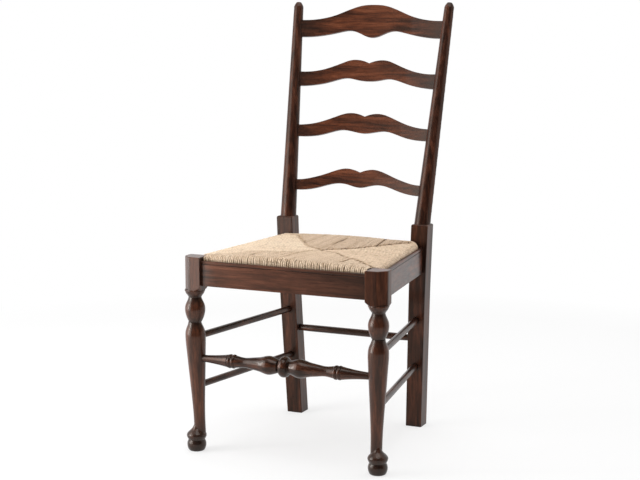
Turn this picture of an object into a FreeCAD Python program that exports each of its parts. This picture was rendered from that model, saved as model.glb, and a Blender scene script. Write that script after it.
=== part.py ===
import FreeCAD, Part
import math
import os

# Ladderback dining chair with a drop-in rush seat. Millimetres, +Z up, front towards -Y.
# Depths (Y) are measured from the plane through the axes of the two front legs, and the
# finished chair is then moved so that the origin is the middle of its footprint.

V = FreeCAD.Vector

# Fits
glue_gap = 0.15          # glue line round each tenon, in its mortise
seat_gap = 1.0           # drop-in seat to the lips and blocks round it
seat_back_gap = 3.0      # drop-in seat to the back legs and back rail

# Seat rails
rail_top = 484.0         # top of the bead
rail_thick = 24.0
front_rail_height = 62.0
side_rail_height = 67.5
rail_setback = 9.0       # front rail face behind the front face of the leg blocks
side_front_setback = 21.8  # side rail face inside the outer face of the leg block
side_back_setback = 9.9  # side rail face inside the outer face of the back leg
bead_height = 8.5
quirk_width = 1.2
quirk_depth = 1.5
lip_width = 5.5          # lip left outside the rebate that takes the seat
ledge_drop = 22.0        # rebate ledge under the top of the bead
tenon_thick = 10.0
tenon_inset = 8.0        # tenon's lower edge above the rail's lower edge
tenon_drop = 6.0         # tenon's upper edge under the ledge
front_tenon_length = 21.0
side_tenon_front = 20.0
side_tenon_back = 26.0
back_tenon_length = 13.0
back_tenon_inset = 2.0   # tenon's rear face in front of the back rail's rear face

# Front legs
front_leg_x = 244.5      # turning axis from the middle of the chair
block_inner = 26.0       # axis to the face towards the other leg
block_outer = 25.0
block_half_depth = 24.0
block_rise = 9.0         # top of the block above the rails
block_height = 84.0
block_corner_cut = 20.0  # outer front corner, cut back along each face
block_corner_round = 9.0
block_back_round = 8.0   # outer rear corner
block_top_round = 2.5
turn_off_height = 9.0    # cone that turns the square corners off
ring_radius = 25.3
ring_height = 4.0
neck_radius = 16.0
ovolo_height = 14.0      # ring down to the first neck
bulb_radius = 25.1
bulb_height = 62.5       # first neck down to the second
shoulder_radius = 25.2
shoulder_drop = 35.5     # second neck down to the widest part of the shaft
ankle_z = 78.0
ankle_radius = 14.3
ankle_offset_x = 5.7     # the shaft is turned off centre towards its ankle
ankle_offset_y = 5.5
foot_z = 40.0
foot_radius = 24.9
foot_rise = 36.0         # concave top of the foot, up the toe side of the ankle
groove_z = 28.0
groove_radius = 20.5
pad_z = 14.0
pad_radius = 23.8
sole_radius = 15.0

# Back legs
back_leg_size = 43.0
back_leg_inner_x = 151.7       # inner face on the floor
back_leg_splay = 0.0334        # sideways lean of the inner face
back_leg_outer_splay = 0.0385  # the outer face leans a little more
back_foot_y = 422.2            # front face on the floor
back_knee_y = 401.5            # front face at the seat
back_knee_low_z = 330.0        # start and end of the gentle bend
back_knee_high_z = 450.0
back_shoulder_z = 542.0
back_leg_round = 2.0
shoulder_round = 4.5

# Round posts above the shoulders
post_inset = 1.0         # post axis inside the middle of the leg's shoulder
post_set_back = 3.8      # post axis behind the middle of the leg's shoulder
post_spread = 24.2       # how far a post leans outwards up to its top
post_rake = 121.2        # how far a post leans backwards up to its top
post_top_z = 1106.0
post_base_radius = 21.0
post_top_radius = 12.6
post_sunk = 18.0          # length of the cone hidden in the square of the leg
dome_height = 12.5
dome_flat_radius = 6.0

# Slats
slat_thick = 10.0
slat_bow = 16.0          # set back of the middle behind the ends
slat_housing = 13.0      # depth of each end in its post

# Stretchers
stretcher_radius = 8.5
stretcher_end_radius = 7.6
stretcher_swell_length = 60.0
stretcher_housing = 20.0
side_upper_z = 289.5
side_lower_z = 164.5
back_stretcher_z = 236.8
back_stretcher_radius = 9.2
front_stretcher_z = 237.0
front_end_radius = 8.7
front_housing = 21.0
cone_sunk = 2.7          # wide of the leg down to the foot of the stretcher's cone
cone_length = 71.0
cone_top_radius = 16.0
bead_radius = 17.5
bead_half = 5.0          # half the width of each of the two beads beside the cone
bead_groove_radius = 15.2
waist_reach = 27.5       # middle of the inner bead to the thinnest place inside it
waist_radius = 12.3
vase_x = 41.0            # widest place of the vase, from the middle of the stretcher
vase_radius = 23.2
vase_neck_x = 17.0
vase_neck_radius = 16.6
ring_gap_x = 14.2
ring_gap_radius = 13.4
centre_ring_half = 11.6
centre_ring_radius = 25.7
centre_ring_drop = 9.6      # fall of the ring's round edge from its middle to its sides

# Rush seat
seat_edge_top = 495.5    # top of the rush along its sides
seat_crown = 504.5       # top of the rush along its middle, front to back
seat_roll = 12.0         # rounding of the rolled edges
seat_corner_round = 24.0
seat_notch_round = 2.0
rush_thick = 7.0         # rush round the frame
frame_width = 42.0
frame_front_width = 60.0
frame_tenon_length = 28.0
frame_tenon_thick = 8.0
frame_tenon_inset = 6.0  # tenon narrower than its rail on each side

# Corner blocks and their screws
brace_reach = 78.0       # along each rail from the inner corner
brace_corner_cut = 27.0  # clears the leg
brace_thick = 24.0
brace_drop = 4.0         # top of the block under the ledge
screw_radius = 2.2
screw_head_radius = 4.4
screw_length = 34.0
screw_bite = 14.0        # length of the screw in the rail
screw_bore_gap = 0.6     # counterbore round the screw's head

# Values that follow from the ones above
block_top = rail_top + block_rise
block_bottom = block_top - block_height
front_face_y = rail_setback - block_half_depth
ledge_z = rail_top - ledge_drop
side_front_x = front_leg_x + block_outer - side_front_setback
leg_outer_x = back_leg_inner_x + back_leg_size + back_leg_outer_splay * back_knee_high_z
side_back_x = leg_outer_x - side_back_setback
side_slope = (side_front_x - side_back_x) / (back_knee_y - block_half_depth)
side_face_x = side_front_x + side_slope * block_half_depth
side_angle = math.degrees(math.atan(side_slope))
side_run = 1.0 / math.cos(math.radians(side_angle))
shoulder_inner_x = back_leg_inner_x + back_leg_splay * back_shoulder_z
shoulder_outer_x = back_leg_inner_x + back_leg_size + back_leg_outer_splay * back_shoulder_z
post_base = V(
    0.5 * (shoulder_inner_x + shoulder_outer_x) - post_inset,
    back_knee_y + 0.5 * back_leg_size + post_set_back,
    back_shoulder_z,
)
post_tip = V(post_base.x + post_spread, post_base.y + post_rake, post_top_z)
post_lean = math.degrees(math.atan2(post_rake, post_top_z - back_shoulder_z))
cone_foot_x = front_leg_x - shoulder_radius + cone_sunk
cone_top_x = cone_foot_x - cone_length
bead_x = (cone_top_x - bead_half + 1.0, cone_top_x - 3 * bead_half + 1.0)
waist_x = bead_x[1] - waist_reach
seat_front_y = front_face_y + lip_width + seat_gap
seat_back_y = back_knee_y - seat_back_gap
seat_under_z = ledge_z


def edge(*points):
    """Straight edges through the points."""
    return [Part.LineSegment(a, b).toShape() for a, b in zip(points, points[1:])]


def curve(points, start=None, end=None):
    """One smooth edge through the points, with the directions given at its ends."""
    spline = Part.BSplineCurve()
    if start is None:
        spline.interpolate(points)
    else:
        spline.interpolate(Points=points, InitialTangent=start, FinalTangent=end)
    return [spline.toShape()]


def arc(first, middle, last):
    return [Part.Arc(first, middle, last).toShape()]


def face_of(edges):
    return Part.Face(Part.Wire(Part.__sortEdges__(edges)))


def box(x0, x1, y0, y1, z0, z1):
    return Part.makeBox(x1 - x0, y1 - y0, z1 - z0, V(x0, y0, z0))


def prism(points, height):
    """Upright prism on a plan outline."""
    return face_of(edge(*points, points[0])).extrude(V(0, 0, height))


def mirrored(shape):
    """The same piece on the other side of the chair."""
    return shape.mirror(V(0, 0, 0), V(1, 0, 0))


def rounded(shape, radius, wanted):
    """Fillets the edges that the test picks."""
    return shape.makeFillet(radius, [e for e in shape.Edges if wanted(e)])


def upright(e):
    """True for a straight edge that runs mainly up and down."""
    if len(e.Vertexes) < 2:
        return False
    run = e.Vertexes[1].Point - e.Vertexes[0].Point
    return abs(run.z) > 0.9 * run.Length


def leg_slab():
    """Square part of the right back leg: a bent side outline, leaning outwards."""
    knee_rise = back_knee_high_z - back_knee_low_z
    rake = (back_foot_y - back_knee_y) / (0.5 * (back_knee_low_z + back_knee_high_z))

    def side(offset):
        foot = V(0, back_foot_y + offset, 0)
        start = V(0, back_knee_y + offset + rake * 0.5 * knee_rise, back_knee_low_z)
        end = V(0, back_knee_y + offset, back_knee_high_z)
        top = V(0, back_knee_y + offset, back_shoulder_z)
        bend = curve([start, end], V(0, -rake, 1) * knee_rise, V(0, 0, 1) * knee_rise)
        return foot, top, edge(foot, start) + bend + edge(end, top)

    front_foot, front_top, front = side(0.0)
    back_foot, back_top, back = side(back_leg_size)
    outline = front + back + edge(front_foot, back_foot) + edge(front_top, back_top)
    reach = back_leg_inner_x + 3 * back_leg_size
    body = face_of(outline).extrude(V(reach, 0, 0))
    corners = [
        V(back_leg_inner_x, 0, 0),
        V(back_leg_inner_x + back_leg_size, 0, 0),
        V(shoulder_outer_x, 0, back_shoulder_z),
        V(shoulder_inner_x, 0, back_shoulder_z),
    ]
    slab = face_of(edge(*corners, corners[0])).extrude(V(0, post_tip.y, 0))
    return body.common(slab)


def post_solid():
    """Round tapered post with its domed top, along the line from base to tip."""
    line = post_tip - post_base
    length = line.Length
    taper = (post_base_radius - post_top_radius) / length
    low = -post_sunk
    neck = length - dome_height
    neck_width = post_base_radius - taper * neck
    dome_middle = V(0.55 * neck_width + 0.45 * dome_flat_radius, 0, neck + 0.6 * dome_height)
    outline = edge(V(0, 0, low), V(post_base_radius - taper * low, 0, low), V(neck_width, 0, neck))
    outline += arc(V(neck_width, 0, neck), dome_middle, V(dome_flat_radius, 0, length))
    outline += edge(V(dome_flat_radius, 0, length), V(0, 0, length), V(0, 0, low))
    post = face_of(outline).revolve(V(0, 0, 0), V(0, 0, 1), 360)
    post.Placement = FreeCAD.Placement(post_base, FreeCAD.Rotation(V(0, 0, 1), line))
    return post


def back_leg():
    """Right back leg, before its mortises."""
    square = rounded(leg_slab(), back_leg_round, upright)

    def at_top(e):
        return all(abs(v.Z - back_shoulder_z) < 0.01 for v in e.Vertexes)

    square = rounded(square, shoulder_round, at_top)
    return square.fuse(post_solid()).removeSplitter()


def leg_block():
    """Square block of the right front leg, with its outer front corner cut off."""
    left = front_leg_x - block_inner
    right = front_leg_x + block_outer
    front = -block_half_depth
    back = block_half_depth
    corners = [
        V(left, front, block_bottom),
        V(right - block_corner_cut, front, block_bottom),
        V(right, front + block_corner_cut, block_bottom),
        V(right, back, block_bottom),
        V(left, back, block_bottom),
    ]
    block = prism(corners, block_height)

    def at_cut(e):
        x = e.CenterOfMass.x
        y = e.CenterOfMass.y
        on_front = abs(x - (right - block_corner_cut)) < 0.1 and abs(y - front) < 0.1
        on_side = abs(x - right) < 0.1 and abs(y - front - block_corner_cut) < 0.1
        return upright(e) and (on_front or on_side)

    def at_back(e):
        return upright(e) and abs(e.CenterOfMass.x - right) + abs(e.CenterOfMass.y - back) < 0.1

    block = rounded(block, block_corner_round, at_cut)
    block = rounded(block, block_back_round, at_back)

    def at_top(e):
        return all(abs(v.Z - block_top) < 0.01 for v in e.Vertexes)

    block = rounded(block, block_top_round, at_top)
    wide = ring_radius + 2 * turn_off_height
    envelope = edge(
        V(0, 0, block_bottom),
        V(ring_radius, 0, block_bottom),
        V(wide, 0, block_bottom + 2 * turn_off_height),
        V(wide, 0, block_top),
        V(0, 0, block_top),
        V(0, 0, block_bottom),
    )
    turned = face_of(envelope).revolve(V(0, 0, 0), V(0, 0, 1), 360)
    turned.translate(V(front_leg_x, 0, 0))
    return block.common(turned)


def leg_turning():
    """Ring, ovolo, neck and bulb of the right front leg, down to the second neck."""
    ring_z = block_bottom - ring_height
    neck_z = ring_z - ovolo_height
    low_z = neck_z - bulb_height
    outline = edge(V(0, 0, block_bottom + 1), V(ring_radius - 0.5, 0, block_bottom + 1))
    outline += arc(
        V(ring_radius - 0.5, 0, block_bottom + 1),
        V(ring_radius, 0, ring_z + 0.6 * ring_height),
        V(ring_radius - 1.2, 0, ring_z),
    )
    outline += curve([
        V(ring_radius - 1.2, 0, ring_z),
        V(ring_radius - 3.2, 0, ring_z - 0.35 * ovolo_height),
        V(neck_radius + 2.0, 0, ring_z - 0.75 * ovolo_height),
        V(neck_radius, 0, neck_z),
    ])
    outline += curve([
        V(neck_radius, 0, neck_z),
        V(neck_radius + 3.2, 0, neck_z - 0.16 * bulb_height),
        V(neck_radius + 7.0, 0, neck_z - 0.29 * bulb_height),
        V(bulb_radius, 0, neck_z - 0.52 * bulb_height),
        V(neck_radius + 6.6, 0, neck_z - 0.75 * bulb_height),
        V(neck_radius, 0, low_z),
    ])
    outline += edge(V(neck_radius, 0, low_z), V(0, 0, low_z), V(0, 0, block_bottom + 1))
    turning = face_of(outline).revolve(V(0, 0, 0), V(0, 0, 1), 360)
    turning.translate(V(front_leg_x, 0, 0))
    return turning


def leg_shaft():
    """Baluster shaft of the right front leg, turned about a line that leans to the ankle."""
    neck_z = block_bottom - ring_height - ovolo_height - bulb_height
    widest_z = neck_z - shoulder_drop
    lean = V(-ankle_offset_x, ankle_offset_y, ankle_z - widest_z)
    drop = lean.Length
    outline = edge(V(0, 0, shoulder_drop), V(neck_radius, 0, shoulder_drop))
    outline += curve([
        V(neck_radius, 0, shoulder_drop),
        V(neck_radius + 2.4, 0, 0.76 * shoulder_drop),
        V(neck_radius + 5.9, 0, 0.53 * shoulder_drop),
        V(neck_radius + 8.1, 0, 0.32 * shoulder_drop),
        V(shoulder_radius, 0, 0),
        V(shoulder_radius - 1.0, 0, -0.13 * drop),
        V(shoulder_radius - 3.7, 0, -0.35 * drop),
        V(ankle_radius + 3.1, 0, -0.66 * drop),
        V(ankle_radius + 0.7, 0, -0.88 * drop),
        V(ankle_radius, 0, -drop),
    ])
    hidden = -drop - (ankle_z - foot_z)
    outline += edge(
        V(ankle_radius, 0, -drop), V(ankle_radius, 0, hidden), V(0, 0, hidden), V(0, 0, shoulder_drop)
    )
    shaft = face_of(outline).revolve(V(0, 0, 0), V(0, 0, 1), 360)
    place = FreeCAD.Rotation(V(0, 0, -1), lean)
    shaft.Placement = FreeCAD.Placement(V(front_leg_x, 0, widest_z), place)
    return shaft


def leg_foot():
    """Round of the foot on the leg's own axis, hollowed on top where it meets the ankle."""
    top_z = foot_z + foot_rise
    peak = V(0.16 * foot_radius, 0, top_z)
    outline = edge(V(0, 0, top_z), peak)
    outline += curve([
        peak,
        V(0.3 * foot_radius, 0, foot_z + 0.64 * foot_rise),
        V(0.5 * foot_radius, 0, foot_z + 0.42 * foot_rise),
        V(0.8 * foot_radius, 0, foot_z + 0.22 * foot_rise),
        V(foot_radius, 0, foot_z),
        V(foot_radius - 2.2, 0, foot_z - 0.65 * (foot_z - groove_z)),
        V(groove_radius, 0, groove_z),
    ])
    outline += edge(V(groove_radius, 0, groove_z), V(0, 0, groove_z), V(0, 0, top_z))
    foot = face_of(outline).revolve(V(0, 0, 0), V(0, 0, 1), 360)
    foot.translate(V(front_leg_x, 0, 0))
    return foot


def leg_pad():
    """Round pad under the foot of the right front leg."""
    outline = edge(V(0, 0, groove_z), V(groove_radius, 0, groove_z))
    outline += curve([
        V(groove_radius, 0, groove_z),
        V(pad_radius - 1.2, 0, groove_z - 4.5),
        V(pad_radius, 0, pad_z),
        V(pad_radius - 2.0, 0, 0.42 * pad_z),
        V(0.5 * (pad_radius + sole_radius), 0, 0.12 * pad_z),
        V(sole_radius, 0, 0),
    ])
    outline += edge(V(sole_radius, 0, 0), V(0, 0, 0), V(0, 0, groove_z))
    pad = face_of(outline).revolve(V(0, 0, 0), V(0, 0, 1), 360)
    pad.translate(V(front_leg_x, 0, 0))
    return pad


def front_leg():
    """Right front leg, before its mortises."""
    return leg_block().fuse([leg_turning(), leg_shaft(), leg_foot(), leg_pad()]).removeSplitter()


def rail_section(height):
    """Section of a moulded rail in the YZ plane, its face at Y 0."""
    quirk_top = rail_top - bead_height + quirk_width
    bead_crown = V(0, 0.5 * lip_width, rail_top)
    return face_of(
        edge(
            V(0, 0, quirk_top - quirk_width),
            V(0, 0, rail_top - height),
            V(0, rail_thick, rail_top - height),
            V(0, rail_thick, ledge_z),
            V(0, lip_width, ledge_z),
            V(0, lip_width, rail_top - 1.0),
        )
        + curve([V(0, lip_width, rail_top - 1.0), bead_crown, V(0, 0.4, rail_top - 2.6), V(0, 0, quirk_top)])
        + edge(V(0, 0, quirk_top), V(0, quirk_depth, quirk_top), V(0, quirk_depth, quirk_top - quirk_width))
        + edge(V(0, quirk_depth, quirk_top - quirk_width), V(0, 0, quirk_top - quirk_width))
    )


def tenon_z(height):
    """Lower and upper edge of a tenon on a rail of this height."""
    return rail_top - height + tenon_inset, ledge_z - tenon_drop


def front_rail_tenon(grow=0.0):
    """Both tenons of the front rail as one bar, or the room for them."""
    low, high = tenon_z(front_rail_height)
    reach = front_leg_x - block_inner + front_tenon_length + grow
    y0 = front_face_y + 0.5 * (rail_thick - tenon_thick)
    return box(-reach, reach, y0 - grow, y0 + tenon_thick + grow, low - grow, high + grow)


def front_rail():
    shoulder = front_leg_x - block_inner
    rail = rail_section(front_rail_height).extrude(V(2 * shoulder, 0, 0))
    rail.translate(V(-shoulder, front_face_y, 0))
    return rail.fuse(front_rail_tenon()).removeSplitter()


def along_side(shape):
    """Moves a piece drawn along +X from the leg plane on to the line of the right side rail."""
    shape.rotate(V(0, 0, 0), V(0, 0, 1), 90 + side_angle)
    shape.translate(V(side_face_x, 0, 0))
    return shape


def side_rail_tenon(grow=0.0):
    """Both tenons of the right side rail as one bar, or the room for them."""
    low, high = tenon_z(side_rail_height)
    middle = 0.5 * rail_thick
    bar = box(
        0,
        2 * back_knee_y,
        middle - 0.5 * tenon_thick - grow,
        middle + 0.5 * tenon_thick + grow,
        low - grow,
        high + grow,
    )
    bar = along_side(bar)
    front = block_half_depth - side_tenon_front - grow
    back = back_knee_y + side_tenon_back + grow
    return bar.common(box(0, side_face_x, front, back, low - 1, high + 1))


def side_rail():
    """Right side rail, between the rear face of the block and the back leg."""
    rail = along_side(rail_section(side_rail_height).extrude(V(2 * back_knee_y, 0, 0)))
    rail = rail.common(box(0, 1.2 * side_face_x, block_half_depth, back_knee_y, 0, rail_top + 1))
    return rail.fuse(side_rail_tenon()).removeSplitter()


def back_rail_tenon(grow=0.0):
    low, high = tenon_z(side_rail_height)
    reach = back_leg_inner_x + back_leg_splay * 0.5 * (low + high) + back_tenon_length + grow
    y0 = back_knee_y + rail_thick - tenon_thick - back_tenon_inset
    return box(-reach, reach, y0 - grow, y0 + tenon_thick + grow, low - grow, high + grow)


def back_rail():
    """Back rail, its shoulders cut to the leaning inner faces of the back legs."""
    low = rail_top - side_rail_height
    right = [V(back_leg_inner_x + back_leg_splay * z, back_knee_y, z) for z in (low, rail_top)]
    outline = right + [V(-p.x, p.y, p.z) for p in reversed(right)]
    rail = face_of(edge(*outline, outline[0])).extrude(V(0, rail_thick, 0))
    return rail.fuse(back_rail_tenon()).removeSplitter()


# Each slat: how far its lower edge at the posts is below their tops, then (distance from the
# middle, height above that edge) of its upper edge and of its lower edge, from the middle
# outwards, as drawn at the half width given. The distances stretch with the space between.
slats = {
    "slat_top": {
        "below": 91.9,
        "half": 198.9,
        "upper": ((0, 90.3), (35, 87.4), (57, 80.8), (80, 71.8), (103, 62.2), (127, 54.6), (175, 46.4)),
        "lower": ((0, 3.0), (17, 6.0), (40, 15.6), (63, 20.6), (87, 17.1), (115, 10.5), (150, 4.0)),
        "end": 45.3,
        "notch": False,
    },
    "slat_upper": {
        "below": 221.9,
        "half": 191.3,
        "upper": ((0, 66.8), (17, 72.7), (38, 75.3), (55, 73.2), (75, 66.0), (98, 56.7), (130, 46.0), (163, 39.8)),
        "lower": ((0, 18.9), (30, 21.3), (58, 25.7), (80, 22.6), (115, 11.9), (149, 4.5)),
        "end": 38.5,
        "notch": True,
    },
    "slat_lower": {
        "below": 354.9,
        "half": 183.5,
        "upper": ((0, 60.0), (16, 65.8), (37, 68.5), (55, 66.4), (82, 57.0), (110, 46.1), (138, 37.4), (166, 32.4)),
        "lower": ((0, 15.5), (35, 20.2), (60, 22.6), (92, 15.6), (126, 5.6), (150, 1.8)),
        "end": 30.9,
        "notch": True,
    },
    "slat_bottom": {
        "below": 495.4,
        "half": 175.4,
        "upper": ((0, 54.8), (18, 61.2), (41, 63.7), (63, 59.0), (98, 45.7), (132, 34.8), (160, 28.6)),
        "lower": ((0, 14.8), (35, 21.7), (57, 23.7), (92, 16.8), (126, 6.3), (148, 2.0)),
        "end": 27.5,
        "notch": True,
    },
}


def post_half(z):
    """Distance of a post's axis from the middle, and the post's radius, at this height."""
    share = (z - back_shoulder_z) / (post_top_z - back_shoulder_z)
    x = post_base.x + share * post_spread
    return x, post_base_radius + share * (post_top_radius - post_base_radius)


def slat_place(shape, slat):
    """Leans a slat drawn upright on Z 0 and puts it in the plane of the posts."""
    shape.rotate(V(0, 0, 0), V(1, 0, 0), -post_lean)
    low = post_top_z - slat["below"]
    y = post_base.y + (low - back_shoulder_z) * math.tan(math.radians(post_lean))
    shape.translate(V(0, y, low))
    return shape


def slat_band(half, reach, thick, z0, z1):
    """Bowed board: an arc between the posts, with straight ends housed in them."""
    radius = (half * half + slat_bow * slat_bow) / (2 * slat_bow)
    turn = math.asin(half / radius)
    centre = slat_bow - radius
    outline = []
    ends = []
    for side in (-0.5, 0.5):
        r = radius + side * thick
        right = V(r * math.sin(turn), centre + r * math.cos(turn), z0)
        left = V(-right.x, right.y, z0)
        out = V(math.cos(turn), -math.sin(turn), 0) * (reach - half)
        right_tip = right + out
        left_tip = left + V(-out.x, out.y, 0)
        outline += arc(left, V(0, centre + r, z0), right)
        outline += edge(right, right_tip) + edge(left, left_tip)
        ends.append((left_tip, right_tip))
    outline += edge(ends[0][0], ends[1][0]) + edge(ends[0][1], ends[1][1])
    return face_of(outline).extrude(V(0, 0, z1 - z0))


def slat_sizes(slat):
    """Half width between the posts, and the reach with the housed ends."""
    x, radius = post_half(post_top_z - slat["below"] + 0.5 * slat["end"])
    half = x - radius
    return half, half + slat_housing


def slat_outline(slat, reach):
    """Front outline of a slat, upright, as a thick prism along Y."""
    half = slat_sizes(slat)[0]
    stretch = half / slat["half"]
    past = reach + slat_thick
    edges = []
    for name, height in (("upper", slat["end"]), ("lower", 0.0)):
        right = [V(x * stretch, 0, z) for x, z in slat[name]] + [V(half, 0, height)]
        left = [V(-p.x, 0, p.z) for p in reversed(right)]
        if slat["notch"] and name == "upper":
            edges += curve(left) + curve(right)
        else:
            edges += curve(left[:-1] + right)
        edges += edge(right[-1], V(past, 0, height))
        edges += edge(left[0], V(-past, 0, height))
    for x in (-past, past):
        edges += edge(V(x, 0, 0), V(x, 0, slat["end"]))
    deep = 2 * slat_bow + slat_thick
    outline = face_of(edges).extrude(V(0, 2 * deep, 0))
    outline.translate(V(0, -deep, 0))
    return outline


def slat_solid(slat):
    half, reach = slat_sizes(slat)
    tall = max(z for x, z in slat["upper"])
    band = slat_band(half, reach, slat_thick, -slat_thick, tall + slat_thick)
    return slat_place(band.common(slat_outline(slat, reach)), slat)


def slat_mortise(slat):
    """Room for both ends of a slat in the posts."""
    half, reach = slat_sizes(slat)
    band = slat_band(half, reach + glue_gap, slat_thick + 2 * glue_gap, -glue_gap, slat["end"] + glue_gap)
    inner = half - slat_housing
    deep = 2 * slat_bow + slat_thick
    band = band.cut(box(-inner, inner, -deep, deep, -1, slat["end"] + 1))
    return slat_place(band, slat)


def rod(start, end, radius, end_radius):
    """Plain round stretcher that thins a little towards both ends."""
    line = end - start
    length = line.Length
    swell = min(stretcher_swell_length, 0.4 * length)
    outline = edge(V(0, 0, 0), V(end_radius, 0, 0))
    outline += curve(
        [V(end_radius, 0, 0), V(0.5 * (end_radius + radius) + 0.2, 0, 0.5 * swell), V(radius, 0, swell)],
        V(0, 0, 1) * swell,
        V(0, 0, 1) * swell,
    )
    outline += edge(V(radius, 0, swell), V(radius, 0, length - swell))
    outline += curve(
        [
            V(radius, 0, length - swell),
            V(0.5 * (end_radius + radius) + 0.2, 0, length - 0.5 * swell),
            V(end_radius, 0, length),
        ],
        V(0, 0, 1) * swell,
        V(0, 0, 1) * swell,
    )
    outline += edge(V(end_radius, 0, length), V(0, 0, length), V(0, 0, 0))
    piece = face_of(outline).revolve(V(0, 0, 0), V(0, 0, 1), 360)
    piece.Placement = FreeCAD.Placement(start, FreeCAD.Rotation(V(0, 0, 1), line))
    return piece


def hole(start, end, radius):
    """Round hole for the housed end of a stretcher."""
    line = end - start
    return Part.makeCylinder(radius + glue_gap, line.Length, start, line)


def back_leg_front(z):
    """Front face of the back legs at this height."""
    rake = (back_foot_y - back_knee_y) / (0.5 * (back_knee_low_z + back_knee_high_z))
    return max(back_knee_y, back_foot_y - rake * z)


def back_leg_middle_x(z):
    return back_leg_inner_x + back_leg_splay * z + 0.5 * back_leg_size


def side_stretcher_line(z):
    """Ends of the right side stretcher at this height, in the front and the back leg."""
    back = V(back_leg_middle_x(z), back_leg_front(z), z)
    start = V(front_leg_x, 0, z)
    line = back - start
    line.normalize()
    return start, back + line * stretcher_housing


def side_stretcher(z):
    start, end = side_stretcher_line(z)
    return rod(start, end, stretcher_radius, stretcher_end_radius)


def side_stretcher_holes(z):
    """Room for the right side stretcher in its two legs."""
    start, end = side_stretcher_line(z)
    line = end - start
    line.normalize()
    return hole(start - line * glue_gap, end + line * glue_gap, stretcher_radius)


def back_stretcher_reach():
    return back_leg_inner_x + back_leg_splay * back_stretcher_z + stretcher_housing


def back_stretcher():
    reach = back_stretcher_reach()
    y = back_leg_front(back_stretcher_z) + 0.5 * back_leg_size
    start = V(-reach, y, back_stretcher_z)
    end = V(reach, y, back_stretcher_z)
    return rod(start, end, back_stretcher_radius, stretcher_end_radius)


def back_stretcher_hole():
    reach = back_stretcher_reach() + glue_gap
    y = back_leg_front(back_stretcher_z) + 0.5 * back_leg_size
    start = V(-reach, y, back_stretcher_z)
    return hole(start, V(reach, y, back_stretcher_z), back_stretcher_radius)


def front_stretcher_reach():
    return front_leg_x - shoulder_radius + front_housing


def front_stretcher():
    """Turned front stretcher, drawn as half an outline along its axis and mirrored."""
    reach = front_stretcher_reach()
    outer_bead, inner_bead = bead_x
    p = [
        V(0, 0, 0),
        V(0, 0, centre_ring_radius),
        V(0.7 * centre_ring_half, 0, centre_ring_radius - 0.28 * centre_ring_drop),
        V(centre_ring_half, 0, centre_ring_radius - centre_ring_drop),
        V(ring_gap_x, 0, ring_gap_radius),
        V(vase_neck_x, 0, vase_neck_radius),
    ]
    outline = curve(p[1:4], V(1, 0, 0) * centre_ring_half, V(0, 0, -1) * 8)
    outline += edge(p[3], p[4], p[5])
    outline += curve(
        [
            V(vase_neck_x, 0, vase_neck_radius),
            V(0.5 * (vase_neck_x + vase_x) - 3, 0, vase_radius - 3.6),
            V(vase_x, 0, vase_radius),
            V(vase_x + 22, 0, vase_radius - 4.6),
            V(0.5 * (vase_x + waist_x) + 12, 0, waist_radius + 2.4),
            V(waist_x, 0, waist_radius),
            V(inner_bead - bead_half - 4, 0, bead_groove_radius - 0.6),
            V(inner_bead - bead_half, 0, bead_groove_radius),
        ],
    )
    for middle in (inner_bead, outer_bead):
        low = V(middle - bead_half, 0, bead_groove_radius)
        high = V(middle + bead_half, 0, bead_groove_radius)
        outline += arc(low, V(middle, 0, bead_radius), high)
    outline += edge(high, V(cone_top_x + 1.5, 0, cone_top_radius))
    outline += curve([
        V(cone_top_x + 1.5, 0, cone_top_radius),
        V(cone_top_x + 16, 0, cone_top_radius - 2.4),
        V(cone_top_x + 40, 0, front_end_radius + 2.0),
        V(cone_foot_x, 0, front_end_radius),
    ])
    outline += edge(
        V(cone_foot_x, 0, front_end_radius),
        V(reach, 0, front_end_radius),
        V(reach, 0, 0),
        V(0, 0, 0),
        V(0, 0, centre_ring_radius),
    )
    half = face_of(outline).revolve(V(0, 0, 0), V(1, 0, 0), 360)
    piece = half.fuse(mirrored(half)).removeSplitter()
    piece.translate(V(0, 0, front_stretcher_z))
    return piece


def front_stretcher_hole():
    reach = front_stretcher_reach() + glue_gap
    start = V(-reach, 0, front_stretcher_z)
    return hole(start, V(reach, 0, front_stretcher_z), front_end_radius)


def seat_side_x(y):
    """Right edge of the rush seat at this depth, clear of the side rail's lip."""
    return side_face_x - side_slope * y - (lip_width + seat_gap) * side_run


def rush_form():
    """Closed outer form of the rush: crowned above, rolled edges, notched round the blocks."""
    low = seat_under_z
    corners = [
        V(seat_side_x(seat_front_y), seat_front_y, low),
        V(seat_side_x(seat_back_y), seat_back_y, low),
    ]
    plan = corners + [V(-p.x, p.y, low) for p in reversed(corners)]
    form = prism(plan, seat_crown + 10 - low)
    form = rounded(form, seat_corner_round, upright)
    half = 0.5 * (corners[0].x + corners[1].x)
    rise = seat_crown - seat_edge_top
    radius = (half * half + rise * rise) / (2 * rise)
    axis_start = V(0, seat_front_y - 1, seat_crown - radius)
    crown = Part.makeCylinder(radius, seat_back_y - seat_front_y + 2, axis_start, V(0, 1, 0))
    form = form.common(crown)

    def rolled(e):
        flat_below = all(abs(v.Z - low) < 0.01 for v in e.Vertexes)
        above = min(v.Z for v in e.Vertexes) > low + seat_roll
        return flat_below or above

    form = rounded(form, seat_roll, rolled)
    notch_x = front_leg_x - block_inner - seat_gap
    notch_y = block_half_depth + seat_gap
    notch = box(notch_x, 2 * notch_x, 3 * seat_front_y, notch_y, low - 1, seat_crown + 1)

    def inner_corner(e):
        return upright(e) and abs(e.CenterOfMass.x - notch_x) + abs(e.CenterOfMass.y - notch_y) < 0.1

    notch = rounded(notch, seat_notch_round, inner_corner)
    return form.cut(notch).cut(mirrored(notch))


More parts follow.
